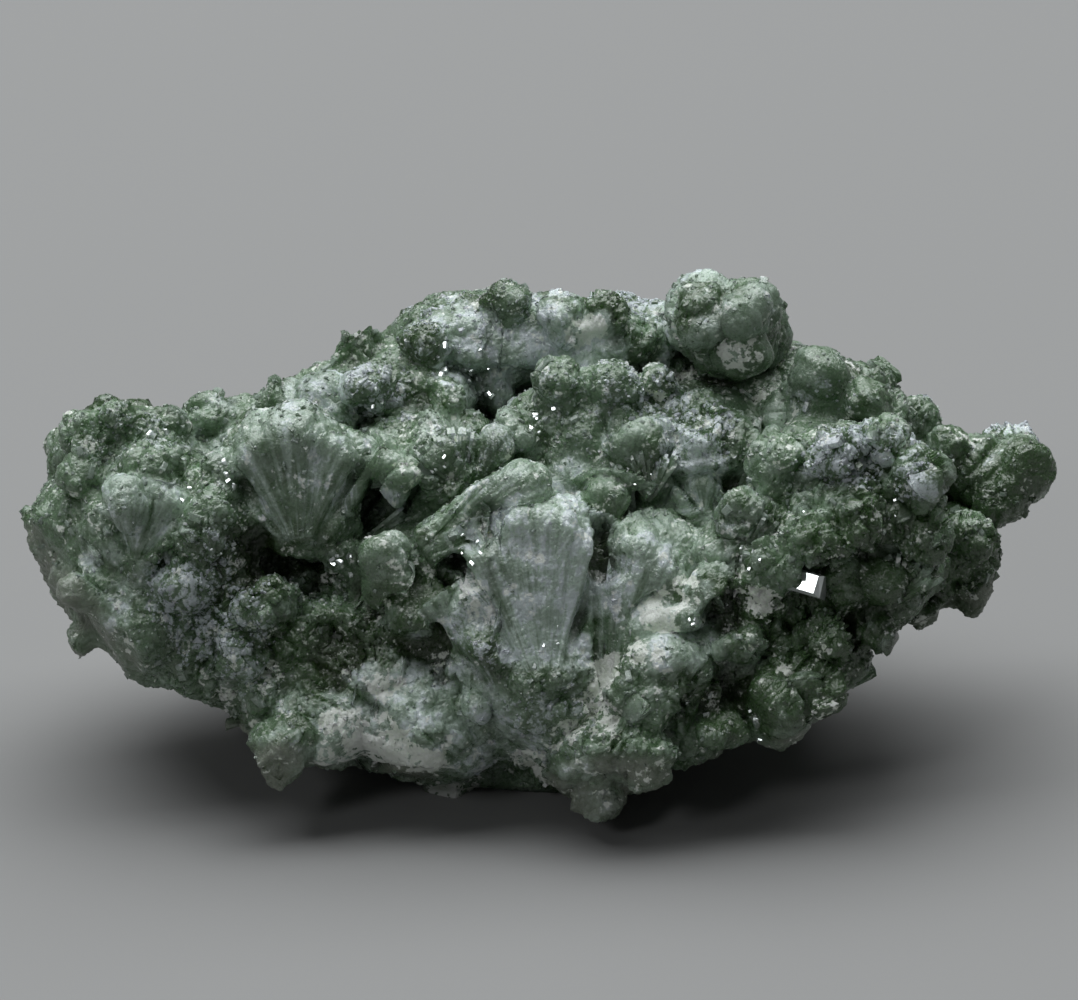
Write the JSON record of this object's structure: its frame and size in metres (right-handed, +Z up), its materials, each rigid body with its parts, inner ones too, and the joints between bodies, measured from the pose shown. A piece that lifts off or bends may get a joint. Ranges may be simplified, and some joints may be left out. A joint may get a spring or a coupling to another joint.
{
  "type": "raw prehnite specimen",
  "caption": "Rough green prehnite: crystal fans, balls and blocks grown together over a broken core, standing on a small flat spot under its middle.",
  "frame": {"origin": "middle of the stone's box at the level of its resting spot", "axes": "+X along the stone's length to its horn, +Y away from its fan front towards its back, +Z up as it rests"},
  "size_m": [0.0936, 0.0478, 0.0434],
  "materials": {
    "prehnite": "translucent grey-green crystal with frosted pale crests, dark green hollows and white matrix"
  },
  "bodies": {
    "root": {"prehnite": "prehnite"}
  },
  "joints": []
}
